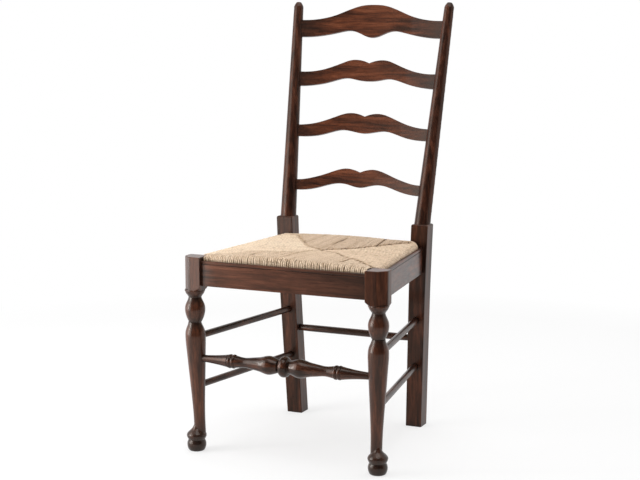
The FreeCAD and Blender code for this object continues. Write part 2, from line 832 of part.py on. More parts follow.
def seat_frame():
    """The four rails of the seat frame: sides run through, front and back are tenoned in."""
    low = seat_under_z + rush_thick
    high = seat_edge_top - rush_thick
    reach_y = seat_back_y - rush_thick
    front_y = block_half_depth + seat_gap + rush_thick
    half_x = front_leg_x - block_inner - seat_gap - rush_thick
    side = prism(
        [
            V(seat_side_x(front_y) - rush_thick, front_y, low),
            V(seat_side_x(reach_y) - rush_thick, reach_y, low),
            V(seat_side_x(reach_y) - rush_thick - frame_width, reach_y, low),
            V(seat_side_x(front_y) - rush_thick - frame_width, front_y, low),
        ],
        high - low,
    )

    def outer_back(e):
        middle = e.CenterOfMass
        return upright(e) and middle.y > reach_y - 1 and middle.x > seat_side_x(reach_y) - 2 * rush_thick

    side = rounded(side, seat_corner_round - rush_thick, outer_back)
    both = side.fuse(mirrored(side))
    front_edge = seat_front_y + rush_thick
    front = box(-half_x, half_x, front_edge, front_edge + frame_front_width, low, high)
    back = box(-half_x, half_x, reach_y - frame_width, reach_y, low, high)
    rails = {}
    middle_z = 0.5 * (low + high)
    for name, rail in (("seat_frame_front", front), ("seat_frame_back", back)):
        y0 = max(rail.BoundBox.YMin, front_y)
        y1 = rail.BoundBox.YMax
        inner = min(seat_side_x(y0), seat_side_x(y1)) - rush_thick - frame_width
        reach = inner + frame_tenon_length
        y0 += frame_tenon_inset
        y1 -= frame_tenon_inset

        def tenon(grow):
            tall = 0.5 * frame_tenon_thick + grow
            return box(-reach - grow, reach + grow, y0 - grow, y1 + grow, middle_z - tall, middle_z + tall)

        body = rail.cut(both)
        body = min(body.Solids, key=lambda s: abs(s.CenterOfMass.x))
        rails[name] = body.fuse(tenon(0.0)).removeSplitter()
        side = side.cut(tenon(glue_gap))
    rails["seat_frame_right"] = side
    rails["seat_frame_left"] = mirrored(side)
    return rails


def brace(corner, inward, along):
    """Corner block: a plan with its own corner cut off, between two rails' inner faces."""
    high = ledge_z - brace_drop
    plan = [
        corner + inward * brace_corner_cut,
        corner + inward * brace_reach,
        corner + along * brace_reach,
        corner + along * brace_corner_cut,
    ]
    plan = [V(p.x, p.y, high - brace_thick) for p in plan]
    return prism(plan, brace_thick)


def screw(head, direction, grow=0.0):
    """Countersunk wood screw, its head flush with the point where it enters."""
    shank = screw_radius + grow
    top = screw_head_radius + grow
    point = screw_length + grow
    sink = 1.2 * (screw_head_radius - screw_radius)
    outline = edge(
        V(0, 0, 0),
        V(top, 0, 0),
        V(shank, 0, sink),
        V(shank, 0, point - 3 * screw_radius),
        V(0.4, 0, point),
        V(0, 0, point),
        V(0, 0, 0),
    )
    piece = face_of(outline).revolve(V(0, 0, 0), V(0, 0, 1), 360)
    piece.Placement = FreeCAD.Placement(head, FreeCAD.Rotation(V(0, 0, 1), direction))
    return piece


def corner_corners():
    """Inner corners of the seat rails on the right, with the directions of the two rails."""
    inner_x = side_face_x - rail_thick * side_run
    along_rail = V(-side_slope, 1, 0)
    along_rail.normalize()
    front_y = front_face_y + rail_thick
    front = V(inner_x - side_slope * front_y, front_y, 0)
    back = V(inner_x - side_slope * back_knee_y, back_knee_y, 0)
    return {
        "corner_block_front": (front, V(-1, 0, 0), along_rail),
        "corner_block_back": (back, V(-1, 0, 0), along_rail * -1.0),
    }


def brace_screws(corner, inward, along):
    """Where the two screws of a corner block enter, and which way they run."""
    z = ledge_z - brace_drop - 0.5 * brace_thick
    places = []
    for rail, other in ((inward, along), (along, inward)):
        toward = other * -1.0
        toward = toward - rail * rail.dot(toward)
        toward.normalize()
        reach = brace_corner_cut + 0.45 * (brace_reach - brace_corner_cut)
        entry = corner + rail * reach - toward * (screw_length - screw_bite)
        places.append((V(entry.x, entry.y, z), toward))
    return places


def build():
    """Every piece of the chair by name, in the frame of the front leg plane."""
    pieces = {}

    right = front_leg()
    for tool in (
        front_rail_tenon(glue_gap),
        side_rail_tenon(glue_gap),
        front_stretcher_hole(),
        side_stretcher_holes(side_upper_z),
        side_stretcher_holes(side_lower_z),
    ):
        right = right.cut(tool)
    pieces["front_leg_right"] = right

    right = back_leg()
    for tool in (
        side_rail_tenon(glue_gap),
        back_rail_tenon(glue_gap),
        back_stretcher_hole(),
        side_stretcher_holes(side_upper_z),
        side_stretcher_holes(side_lower_z),
    ):
        right = right.cut(tool)
    for slat in slats.values():
        right = right.cut(slat_mortise(slat))
    pieces["back_leg_right"] = right

    for name, slat in slats.items():
        pieces[name] = slat_solid(slat)
    pieces["front_rail"] = front_rail()
    pieces["side_rail_right"] = side_rail()
    pieces["back_rail"] = back_rail()
    pieces["front_stretcher"] = front_stretcher()
    pieces["side_stretcher_upper_right"] = side_stretcher(side_upper_z)
    pieces["side_stretcher_lower_right"] = side_stretcher(side_lower_z)
    pieces["back_stretcher"] = back_stretcher()

    screws = []
    pilots = []
    for name, (corner, inward, along) in corner_corners().items():
        block = brace(corner, inward, along)
        for head, direction in brace_screws(corner, inward, along):
            pilots.append(screw(head, direction, glue_gap))
            screws.append(screw(head, direction))
            bore_radius = screw_head_radius + screw_bore_gap
            bore = Part.makeCylinder(bore_radius, brace_reach, head, direction * -1.0)
            block = block.cut(bore).cut(pilots[-1])
        pieces[name + "_right"] = block
    pilots += [mirrored(p) for p in pilots]
    screws += [mirrored(s) for s in screws]
    for name in ("front_rail", "side_rail_right", "back_rail"):
        for pilot in pilots:
            pieces[name] = pieces[name].cut(pilot)
    pieces["corner_block_screws"] = Part.makeCompound(screws)

    rails = seat_frame()
    cover = rush_form()
    for rail in rails.values():
        cover = cover.cut(rail)
    pieces["rush_seat"] = max(cover.Solids, key=lambda s: s.BoundBox.DiagonalLength)
    pieces.update(rails)

    for name in list(pieces):
        if name.endswith("_right") and name != "seat_frame_right":
            pieces[name.replace("_right", "_left")] = mirrored(pieces[name])
    return pieces


def main():
    """Puts the origin at the middle of the footprint and writes one file per piece."""
    os.makedirs("parts", exist_ok=True)
    pieces = build()
    whole = Part.makeCompound(list(pieces.values())).optimalBoundingBox(True, False)
    shift = V(0, -0.5 * (whole.YMin + whole.YMax), -whole.ZMin)
    for name, shape in pieces.items():
        shape.translate(shift)
        shape.exportStep(os.path.join("parts", name + ".step"))
    print("depth shift", round(shift.y, 3), "height shift", round(shift.z, 3))


main()
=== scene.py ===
import math
import random
from collections import namedtuple

import bpy
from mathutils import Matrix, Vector


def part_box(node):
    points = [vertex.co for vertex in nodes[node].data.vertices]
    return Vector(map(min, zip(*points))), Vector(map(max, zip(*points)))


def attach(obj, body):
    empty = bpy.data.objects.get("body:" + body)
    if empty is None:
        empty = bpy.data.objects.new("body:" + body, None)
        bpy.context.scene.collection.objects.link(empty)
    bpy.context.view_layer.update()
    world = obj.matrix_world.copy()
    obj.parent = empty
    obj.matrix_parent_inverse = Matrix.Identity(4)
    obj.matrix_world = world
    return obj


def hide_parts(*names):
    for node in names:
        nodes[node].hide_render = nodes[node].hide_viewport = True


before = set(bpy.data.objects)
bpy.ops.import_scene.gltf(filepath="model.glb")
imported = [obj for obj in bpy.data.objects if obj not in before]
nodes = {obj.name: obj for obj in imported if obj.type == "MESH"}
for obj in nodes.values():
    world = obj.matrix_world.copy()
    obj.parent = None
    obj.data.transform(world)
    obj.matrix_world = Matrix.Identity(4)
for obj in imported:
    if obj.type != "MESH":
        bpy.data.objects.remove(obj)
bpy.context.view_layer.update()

# Ladderback chair: dark stained and rubbed wood, and a drop-in seat of twisted rush.
# Metres, +Z up, front towards -Y.

rng = random.Random(11)

# Strands of the rush
strand_pitch = 0.0053
strand_half_width = 0.00255
strand_half_height = 0.0024
strand_sides = 8             # sides of a strand's section
strand_step = 0.0065         # from ring to ring on the face of the seat
under_step = 0.024           # from ring to ring on the underside
twist_length = 0.017         # the grooves between the leaves of a strand make one turn over it
twist_depth = 0.2            # share by which a strand's outline swells and draws in with its twist
leaves = 2.0                 # leaves twisted into each strand
width_spread = (0.9, 1.08)   # narrowest and widest strand, as shares of the plain one
strand_wander = 0.0006       # sideways sway of a strand
wander_spread = (0.5, 1.5)   # least and most sway, as shares of the plain one
wander_wave = (0.05, 0.11)   # shortest and longest wave of the sway
wander_phase = 6.28          # a strand's sway starts anywhere in about one whole turn

# Ends of the strands
roll_steps = 4               # rings in each quarter turn over the edge
strand_dive = 0.0085         # how far a strand's end goes down at the mitre
dive_start = 0.004           # how long before its end it starts to go down
dive_points = ((0.0025, 1.0), (-0.0005, 0.35), (-dive_start, 0.04))      # way past the end, share of the dive
under_turn = 0.002           # half the length over which it goes up again on the underside
ragged = (-0.001, 0.004)     # a strand ends this far short of its mitre, at least and at most
slit = 0.011                 # gap left where the back strands stop short on the right
end_shade = 0.4               # painted shade taken off a strand's tone at its end on the face, where it dives into the mitre

# Gaps where the weave has parted
parting_push = 0.0023        # half the width of such a gap
parting_fade = 0.02          # length over which a parting opens at its ends
parting_reach = 0.009        # distance over which the push on the strands dies away
gap_shade_and_dirt_reach = 0.0038          # distance over which the painted shade and dirt beside a parting die away

# Lie of the strands in plan
front_lean = 0.053           # how far a front strand leans to the right, lean_length from the front edge
lean_middle = -0.01          # where along the front edge the strands lean most
lean_width = 0.09            # how far to each side of that place they still lean
lean_length = 0.16
lean_curve = 1.4             # over 1, so a strand starts out straight and then leans
back_lean = 0.05             # slope to the right of the back strands
back_spread = 0.75           # slope outwards per metre from the middle
back_end_clear = 0.008       # room left at both ends of the row of back strands
side_end_clear = 0.006       # room left behind the last side strands

# Tone of the rush in each panel, from 0 for dark to 1 for pale: the rush's own tone, and painted light and
# shade for how the light falls on strands running each way
front_tone_and_shade = 0.54
back_tone_and_shade = 0.4
left_tone_and_shade = 0.8
right_tone_and_shade = 0.6
tone_spread = 0.12

# Packing between the two faces of the rush
packing_depth = 0.0036       # how far it lies under the face of the rush
packing_rows = 60
packing_columns = 44

# Seat form, as the drop-in seat is made
seat_roll = 0.012            # radius of the roll over its edges
seat_rise = 0.009            # crown above the side edges
seat_corner_round = 0.024
side_draw_in = 0.1207        # narrowing of each side per unit of depth
block_clear = 0.0015         # gap between the rush and the blocks of the front legs
leg_block_half = 0.024       # half the width of such a block

# Places in plan on the seat, from the middle and from the line of the front legs
meeting = (0.030, 0.150)               # of all four mitres
mitre_front_left = (
    (-0.2175, 0.025), (-0.150, 0.052), (-0.110, 0.085), (-0.062, 0.098), (-0.006, 0.112), meeting,
)
mitre_front_right = (meeting, (0.075, 0.135), (0.115, 0.097), (0.158, 0.075), (0.2175, 0.025))
mitre_back_left = ((-0.188, 0.391), (-0.129, 0.355), (-0.075, 0.270), (-0.022, 0.185), meeting)
mitre_back_right = (meeting, (0.055, 0.168), (0.090, 0.205), (0.125, 0.275), (0.160, 0.345), (0.188, 0.391))
slit_start = meeting[0] - 0.01         # back strands to the right of this stop short
front_partings = (
    ((-0.026, -0.010), (-0.015, 0.015), (-0.005, 0.085), (0.007, 0.125), (0.027, 0.150)),
    ((-0.098, -0.002), (-0.100, 0.035), (-0.091, 0.080)),
    ((0.134, 0.008), (0.137, 0.060), (0.139, 0.110)),
)
back_partings = (
    ((0.127, 0.262), (0.115, 0.330), (0.103, 0.400)),
    ((0.0225, 0.225), (0.0185, 0.290), (0.0150, 0.355)),
)


def link(obj):
    bpy.context.scene.collection.objects.link(obj)
    return obj


def mesh_object(name, verts, faces, smooth=True):
    """A new mesh in the scene, shaded smooth or flat."""
    mesh = bpy.data.meshes.new(name)
    mesh.from_pydata(verts, [], faces)
    mesh.update()
    mesh.polygons.foreach_set("use_smooth", [smooth] * len(mesh.polygons))
    return link(bpy.data.objects.new(name, mesh))


# Shader building


def add(tree, kind, sockets=None, **settings):
    """A node with its settings, and its sockets set to values or joined to other sockets."""
    made = tree.nodes.new("ShaderNode" + kind)
    for key, value in settings.items():
        setattr(made, key, value)
    for key, value in (sockets or {}).items():
        if isinstance(value, bpy.types.NodeSocket):
            tree.links.new(value, made.inputs[key])
        else:
            made.inputs[key].default_value = value
    return made


def math_node(tree, operation, a, b=0.0):
    return add(tree, "Math", {0: a, 1: b}, operation=operation).outputs[0]


def times(tree, value, factor):
    return math_node(tree, "MULTIPLY", value, factor)


def object_place(tree):
    """Where a point of the surface is on its piece, in metres."""
    return add(tree, "TexCoord").outputs["Object"]


def noise(tree, place, scale, detail, roughness=0.5, distortion=0.0):
    """Cloudy noise, most of it between 0.3 and 0.7."""
    sockets = {"Vector": place, "Scale": scale, "Detail": detail}
    return add(tree, "TexNoise", {**sockets, "Roughness": roughness, "Distortion": distortion}).outputs[0]


def spread(tree, value, given, wanted=(0.0, 1.0)):
    """Maps a value from the given range to the wanted one, held at the ends."""
    return add(tree, "MapRange", {0: value, 1: given[0], 2: given[1], 3: wanted[0], 4: wanted[1]}).outputs[0]


def ramp(tree, factor, stops):
    """Colour ramp with the (place, colour) stops given."""
    made = add(tree, "ValToRGB", {"Fac": factor})
    elements = made.color_ramp.elements
    while len(elements) < len(stops):
        elements.new(0.5)
    for element, (place, colour) in zip(elements, stops):
        element.position = place
        element.color = (*colour, 1.0)
    return made.outputs["Color"]


def mix(tree, factor, a, b, blend="MIX"):
    """Mixes two colours."""
    made = add(tree, "Mix", {0: factor}, data_type="RGBA", blend_type=blend)
    for key, value in ((6, a), (7, b)):
        if isinstance(value, bpy.types.NodeSocket):
            tree.links.new(value, made.inputs[key])
        else:
            made.inputs[key].default_value = (*value, 1.0)
    return made.outputs[2]


def new_group(name, inputs, outputs):
    """An empty node group, with the sockets that it takes its inputs from and puts its outputs in."""
    tree = bpy.data.node_groups.new(name, "ShaderNodeTree")
    for title, kind in inputs:
        tree.interface.new_socket(title, in_out="INPUT", socket_type="NodeSocket" + kind)
    for title, kind in outputs:
        tree.interface.new_socket(title, in_out="OUTPUT", socket_type="NodeSocket" + kind)
    return tree, tree.nodes.new("NodeGroupInput").outputs, tree.nodes.new("NodeGroupOutput").inputs


def use_group(tree, group, values):
    """Places a node group in a material and gives what it puts out."""
    made = tree.nodes.new("ShaderNodeGroup")
    made.node_tree = group
    for key, value in values.items():
        made.inputs[key].default_value = value
    return made.outputs


def grain_group():
    """Long streaks, fibres and open pores of the wood, drawn out along the piece."""
    tree, given, out = new_group(
        "grain", [("Stretch", "Vector")], [("Streak", "Float"), ("Fibre", "Float"), ("Pores", "Float")]
    )
    stretched = {0: object_place(tree), 1: given["Stretch"]}
    drawn = add(tree, "VectorMath", stretched, operation="MULTIPLY").outputs[0]
    streak = noise(tree, drawn, scale=1.0, detail=4.0, roughness=0.62, distortion=0.3)
    fibre = noise(tree, drawn, scale=4.5, detail=3.0, roughness=0.7)
    pores = noise(tree, drawn, scale=13.0, detail=1.0)
    tree.links.new(streak, out["Streak"])
    tree.links.new(fibre, out["Fibre"])
    tree.links.new(spread(tree, pores, (0.6, 0.72)), out["Pores"])
    return tree


def glaze_and_shade_group():
    """Dark glaze and painted shade in corners, hollows and under other parts, darkest where a point is most
    enclosed.
    """
    tree, given, out = new_group("glaze_and_shade", [("Distance", "Float")], [("Mask", "Float")])
    openness = add(tree, "AmbientOcclusion", {"Distance": given["Distance"]}, samples=6).outputs["AO"]
    tree.links.new(spread(tree, openness, (0.93, 0.42)), out["Mask"])
    return tree


def wear_and_highlight_group():
    """Rubbed edges, lighter as wear and as a painted highlight along the arrises, broken up by a coarse
    noise, and a normal that softens the arrises.
    """
    tree, given, out = new_group("wear_and_highlight", [("Radius", "Float")], [("Mask", "Float"), ("Normal", "Vector")])
    soft = add(tree, "Bevel", {"Radius": given["Radius"]}, samples=4).outputs[0]
    sharp = add(tree, "NewGeometry").outputs["Normal"]
    likeness = add(tree, "VectorMath", {0: soft, 1: sharp}, operation="DOT_PRODUCT").outputs["Value"]
    edge = spread(tree, likeness, (0.995, 0.86))
    patches = noise(tree, object_place(tree), scale=26.0, detail=3.0)
    tree.links.new(times(tree, edge, spread(tree, patches, (0.38, 0.62))), out["Mask"])
    tree.links.new(soft, out["Normal"])
    return tree


def marks_group():
    """Small bruises and worm holes scattered over old wood."""
    tree, given, out = new_group("marks", [("Scale", "Float")], [("Holes", "Float"), ("Bruises", "Float")])
    place = object_place(tree)
    cells = add(tree, "TexVoronoi", {"Vector": place, "Scale": given["Scale"], "Randomness": 1.0}).outputs
    lot = add(tree, "SeparateColor", {0: cells["Color"]}).outputs[0]
    chosen = math_node(tree, "GREATER_THAN", lot, whole_cells)
    holes = times(tree, spread(tree, cells["Distance"], (0.045, 0.025)), chosen)
    bruise = noise(tree, place, scale=34.0, detail=5.0, roughness=0.75)
    tree.links.new(holes, out["Holes"])
    tree.links.new(spread(tree, bruise, (0.62, 0.74)), out["Bruises"])
    return tree


# Stained wood: colours, and the share of the colour that each effect takes
# The dark glaze colour is used for pores, marks and fades, and also as painted shade in the hollows.
glaze_and_shade_colour = (0.013, 0.0085, 0.007)
# Rubbed colour of the edges, which also serves as a painted highlight on the arrises.
worn_and_highlight_colour = (0.14, 0.062, 0.034)
pore_share = 0.5
glaze_and_shade_share = 0.8
wear_and_highlight_share = 0.14
bruise_share = 0.45

# Stained wood: surface
gloss_tint = (1.0, 0.8, 0.64, 1.0)      # the old polish has gone brown
fibre_range = (0.3, 0.7)                # nearly all of the fibre noise
fibre_shade = (0.72, 1.22)              # the fibres darken and lighten the wood between these
fibre_roughness = (0.27, 0.4)
harm_roughness = 0.3                    # added in worm holes and bruises
fibre_height = 0.25
wear_and_highlight_radius = 0.0016                    # how far in from an arris the wood is rubbed and painted lighter as a highlight
marks_scale = 38.0                      # cells in a metre, in some of which a worm hole lies
whole_cells = 0.7                       # share of those cells without a hole
coat_roughness = 0.05

# Sawn wood, steel and packing
sawn_stops = ((0.3, (0.36, 0.22, 0.11)), (0.5, (0.5, 0.34, 0.19)), (0.72, (0.6, 0.44, 0.27)))
sawn_pore_colour = (0.22, 0.13, 0.07)
sawn_pore_share = 0.35
steel_stops = ((0.35, (0.28, 0.27, 0.26)), (0.6, (0.55, 0.54, 0.53)))
# packing coloured dark as painted shade, as it shows in the gaps between strands
packing_and_shade_stops = ((0.3, (0.07, 0.035, 0.018)), (0.7, (0.17, 0.1, 0.055)))

# Rush: colours from dark to pale, and the colour and share of each effect
rush_stops = (
    # the darkest stop is reached only by the painted shade and dirt beside partings and at the mitres
    (0.0, (0.13, 0.075, 0.04)),
    (0.15, (0.50, 0.345, 0.21)),
    (0.38, (0.67, 0.49, 0.335)),
    (0.62, (0.78, 0.60, 0.43)),
    (0.9, (0.88, 0.73, 0.55)),
)
tone_and_shade_share = 0.62
blotch_share = 0.42
# Painted shade in the grooves between the twisted leaves of a strand
groove_shade_colour = (0.36, 0.24, 0.14)
groove_shade_share = 0.45
# Painted shade in the hollows between strands, darkest where most enclosed
hollow_shade_colour = (0.22, 0.13, 0.07)
hollow_shade_share = 0.62
hollow_shade_reach = 0.006
fibre_colour = (0.42, 0.29, 0.17)
fibre_share = 0.35
fleck_colour = (0.36, 0.235, 0.13)
fleck_share = 0.6

# Wooden pieces: colours from the dark streaks to the light ones
slat_stops = (
    (0.35, (0.028, 0.0094, 0.0055)),
    (0.45, (0.067, 0.0205, 0.0105)),
    (0.55, (0.104, 0.0300, 0.0135)),
    (0.66, (0.160, 0.0510, 0.0240)),
)
rail_stops = (
    (0.35, (0.024, 0.0095, 0.0065)),
    (0.50, (0.068, 0.0225, 0.0130)),
    (0.65, (0.135, 0.0460, 0.0245)),
)
front_rail_stops = (
    (0.35, (0.032, 0.0125, 0.0080)),
    (0.50, (0.088, 0.0295, 0.0170)),
    (0.65, (0.160, 0.0560, 0.0310)),
)
leg_stops = (
    (0.33, (0.028, 0.0100, 0.0062)),
    (0.50, (0.068, 0.0225, 0.0120)),
    (0.67, (0.130, 0.0430, 0.0215)),
)
turned_stops = (
    (0.35, (0.012, 0.0055, 0.0040)),
    (0.50, (0.034, 0.0120, 0.0070)),
    (0.65, (0.095, 0.0320, 0.0165)),
)
post_stops = (
    (0.35, (0.015, 0.0062, 0.0043)),
    (0.50, (0.045, 0.0155, 0.0090)),
    (0.65, (0.098, 0.0330, 0.0178)),
)

# How finely the grain is drawn across and along a piece
across = (6.0, 90.0, 90.0)       # grain along X
inwards = (62.0, 9.0, 62.0)      # grain along Y
upwards = (75.0, 75.0, 5.5)      # grain along Z

# Darker zones of the wood. A fade goes by the distance from a place on an axis: it starts and is full at
# the distances given, and most is the share of the dark glaze colour where it is full. The front rail's goes
# by the distance from a place far out on the left, so that the rail darkens to the right only. The slats
# darken towards their ends and the legs towards the floor; the bands at the necks are glaze and painted
# shade.
Fade = namedtuple("Fade", "axis middle start full most")
block_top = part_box("front_leg_right")[1].z
upper_neck = block_top - 0.102       # above the bulb of a front leg
lower_neck = block_top - 0.1645      # below it
slat_fades = (Fade(axis=0, middle=0.0, start=0.1, full=0.19, most=0.75),)
front_rail_fades = (Fade(axis=0, middle=-1.0, start=0.88, full=1.22, most=0.62),)
leg_fades = (
    Fade(axis=2, middle=0.0, start=0.11, full=0.03, most=0.8),
    # the bands at the necks: glaze and painted shade in the hollows of the turning
    Fade(axis=2, middle=upper_neck, start=0.018, full=0.003, most=0.7),
    Fade(axis=2, middle=lower_neck, start=0.022, full=0.003, most=0.7),
)

grain = grain_group()
glaze_and_shade = glaze_and_shade_group()
wear_and_highlight = wear_and_highlight_group()
marks = marks_group()


def new_material(name):
    """A material with a bare Principled shader, and its tree and shader."""
    material = bpy.data.materials.new(name)
    material.use_nodes = True
    tree = material.node_tree
    return material, tree, tree.nodes["Principled BSDF"]


def stained_wood(name, stretch, stops, glaze_and_shade_reach=0.015, gloss=0.28, polish=0.2, fades=()):
    """Stained wood with its grain, dark fades, glaze and painted shade in the hollows, edges rubbed lighter
    as wear and painted highlight, and marks.
    """
    material, tree, shader = new_material(name)
    figure = use_group(tree, grain, {"Stretch": stretch})
    colour = ramp(tree, figure["Streak"], stops)
    depth = spread(tree, figure["Fibre"], fibre_range, fibre_shade)
    depth = add(tree, "CombineColor", {0: depth, 1: depth, 2: depth}).outputs[0]
    colour = mix(tree, 1.0, colour, depth, "MULTIPLY")
    colour = mix(tree, times(tree, figure["Pores"], pore_share), colour, glaze_and_shade_colour)
    for fade in fades:
        place = add(tree, "SeparateXYZ", {0: object_place(tree)}).outputs[fade.axis]
        off = math_node(tree, "ABSOLUTE", math_node(tree, "SUBTRACT", place, fade.middle))
        share = spread(tree, off, (fade.start, fade.full), (0.0, fade.most))
        colour = mix(tree, share, colour, glaze_and_shade_colour)
    # Painted shade as well as glaze: the dark colour goes into corners, hollows and under other parts, where
    # shade falls.
    dark = use_group(tree, glaze_and_shade, {"Distance": glaze_and_shade_reach})["Mask"]
    colour = mix(tree, times(tree, dark, glaze_and_shade_share), colour, glaze_and_shade_colour)
    # Painted highlight as well as wear: the arrises are lightened towards the rubbed colour.
    rubbed_and_highlit = use_group(tree, wear_and_highlight, {"Radius": wear_and_highlight_radius})
    colour = mix(tree, times(tree, rubbed_and_highlit["Mask"], wear_and_highlight_share), colour, worn_and_highlight_colour)
    old = use_group(tree, marks, {"Scale": marks_scale})
    harm = math_node(tree, "MAXIMUM", old["Holes"], times(tree, old["Bruises"], bruise_share))
    colour = mix(tree, harm, colour, glaze_and_shade_colour)
    tree.links.new(colour, shader.inputs["Base Color"])
    rough = spread(tree, figure["Fibre"], fibre_range, fibre_roughness)
    rough = math_node(tree, "ADD", rough, times(tree, harm, harm_roughness))
    tree.links.new(rough, shader.inputs["Roughness"])
    height = math_node(tree, "SUBTRACT", times(tree, figure["Fibre"], fibre_height), harm)
    relief = {"Strength": 0.35, "Distance": 0.0006, "Height": height, "Normal": rubbed_and_highlit["Normal"]}
    tree.links.new(add(tree, "Bump", relief).outputs[0], shader.inputs["Normal"])
    shader.inputs["Specular IOR Level"].default_value = gloss
    shader.inputs["Specular Tint"].default_value = gloss_tint
    shader.inputs["Coat Weight"].default_value = polish
    shader.inputs["Coat Roughness"].default_value = coat_roughness
    return material


def plain_wood(name, stretch):
    """Sawn, unfinished wood of the parts that don't show."""
    material, tree, shader = new_material(name)
    figure = use_group(tree, grain, {"Stretch": stretch})
    colour = ramp(tree, figure["Streak"], sawn_stops)
    colour = mix(tree, times(tree, figure["Pores"], sawn_pore_share), colour, sawn_pore_colour)
    tree.links.new(colour, shader.inputs["Base Color"])
    relief = {"Strength": 0.4, "Distance": 0.0008, "Height": figure["Fibre"]}
    tree.links.new(add(tree, "Bump", relief).outputs[0], shader.inputs["Normal"])
    shader.inputs["Roughness"].default_value = 0.75
    return material


def screw_steel():
    """Plain steel, a little tarnished."""
    material, tree, shader = new_material("screw_steel")
    tarnish = noise(tree, object_place(tree), scale=260.0, detail=4.0)
    tree.links.new(ramp(tree, tarnish, steel_stops), shader.inputs["Base Color"])
    tree.links.new(spread(tree, tarnish, (0.3, 0.7), (0.5, 0.28)), shader.inputs["Roughness"])
    shader.inputs["Metallic"].default_value = 1.0
    return material


def rush_material():
    """Twisted rush: each strand its own tone, which also holds painted shade, with leaf fibres along it, the
    twist across it, and painted shade in its grooves and hollows.
    """
    material, tree, shader = new_material("rush")
    tone_and_shade = add(tree, "Attribute", attribute_name="tone_and_shade").outputs["Fac"]
    strand_map = add(tree, "UVMap", uv_map="strand").outputs[0]
    run, turn = add(tree, "SeparateXYZ", {0: strand_map}).outputs[:2]
    place = object_place(tree)
    blotch = noise(tree, place, scale=32.0, detail=4.0, roughness=0.65)
    shade = math_node(tree, "ADD", times(tree, tone_and_shade, tone_and_shade_share), times(tree, blotch, blotch_share))
    colour = ramp(tree, shade, rush_stops)
    twist = math_node(tree, "ADD", times(tree, run, leaves), times(tree, turn, leaves))
    wave = math_node(tree, "SINE", times(tree, twist, 2 * math.pi))
    # Painted shade: darker in the grooves of the twist, where shade falls
    groove_shade = spread(tree, wave, (-1.0, -0.55), (1.0, 0.0))
    colour = mix(tree, times(tree, groove_shade, groove_shade_share), colour, groove_shade_colour)
    # Painted shade where the rush is enclosed, between strands and under their neighbours
    openness = add(tree, "AmbientOcclusion", {"Distance": hollow_shade_reach}, samples=6).outputs["AO"]
    colour = mix(tree, spread(tree, openness, (0.9, 0.35), (0.0, hollow_shade_share)), colour, hollow_shade_colour)
    leaf = add(tree, "CombineXYZ", {0: times(tree, run, 0.8), 1: times(tree, twist, 5.0)}).outputs[0]
    fibre = noise(tree, leaf, scale=3.0, detail=3.0)
    colour = mix(tree, spread(tree, fibre, (0.55, 0.75), (0.0, fibre_share)), colour, fibre_colour)
    fleck = noise(tree, place, scale=95.0, detail=3.0)
    colour = mix(tree, spread(tree, fleck, (0.56, 0.68), (0.0, fleck_share)), colour, fleck_colour)
    tree.links.new(colour, shader.inputs["Base Color"])
    height = math_node(tree, "ADD", times(tree, wave, 0.4), times(tree, fibre, 0.5))
    relief = {"Strength": 1.0, "Distance": 0.0008, "Height": height}
    tree.links.new(add(tree, "Bump", relief).outputs[0], shader.inputs["Normal"])
    shader.inputs["Roughness"].default_value = 0.55
    return material


def packing_material():
    """Dry leaves packed between the two faces of the rush, coloured dark as painted shade in the gaps between
    the strands.
    """
    material, tree, shader = new_material("rush_packing")
    stalks = noise(tree, object_place(tree), scale=160.0, detail=3.0)
    tree.links.new(ramp(tree, stalks, packing_and_shade_stops), shader.inputs["Base Color"])
    shader.inputs["Roughness"].default_value = 0.85
    return material


def dress_wood():
    """Gives every wooden and steel piece its finish, by the start of its name."""
    slat_wood = stained_wood("slat_wood", across, slat_stops, gloss=0.2, polish=0.1, fades=slat_fades)
    front_rail_wood = stained_wood("front_rail_wood", across, front_rail_stops, fades=front_rail_fades)
    rail_wood = stained_wood("rail_wood", across, rail_stops)
    side_wood = stained_wood("side_wood", inwards, rail_stops, gloss=0.24)
    side_turned_wood = stained_wood("side_turned_wood", inwards, turned_stops)
    turned_wood = stained_wood("turned_wood", across, turned_stops, glaze_and_shade_reach=0.02, gloss=0.24, polish=0.3)
    leg_wood = stained_wood(
        "leg_wood", upwards, leg_stops, glaze_and_shade_reach=0.025, gloss=0.24, polish=0.32, fades=leg_fades,
    )
    post_wood = stained_wood("post_wood", upwards, post_stops, gloss=0.2, polish=0.12)
    hidden_wood = plain_wood("hidden_wood", across)
    hidden_side_wood = plain_wood("hidden_side_wood", inwards)
    finishes = (
        ("slat_", slat_wood),
        ("front_rail", front_rail_wood),
        ("back_rail", rail_wood),
        ("side_rail", side_wood),
        ("side_stretcher", side_turned_wood),
        ("front_stretcher", turned_wood),
        ("back_stretcher", turned_wood),
        ("front_leg", leg_wood),
        ("back_leg", post_wood),
        ("seat_frame_front", hidden_wood),
        ("seat_frame_back", hidden_wood),
        ("seat_frame_", hidden_side_wood),
        ("corner_block_screws", screw_steel()),
        ("corner_block_", hidden_wood),
    )
    for name, node in nodes.items():
        for start, material in finishes:
            if name.startswith(start):
                node.data.materials.clear()
                node.data.materials.append(material)
                break


# Rush seat

seat_low, seat_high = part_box("rush_seat")
stretcher_low, stretcher_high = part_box("front_stretcher")
leg_y = 0.5 * (stretcher_low.y + stretcher_high.y)
block_inner_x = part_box("front_leg_right")[0].x
notch_x = block_inner_x - block_clear
notch_y = leg_y + leg_block_half + block_clear
front_y = seat_low.y
back_y = seat_high.y
crown_half = seat_high.x - 0.5 * side_draw_in * (back_y - front_y)
crown_radius = (crown_half ** 2 + seat_rise ** 2) / (2 * seat_rise)


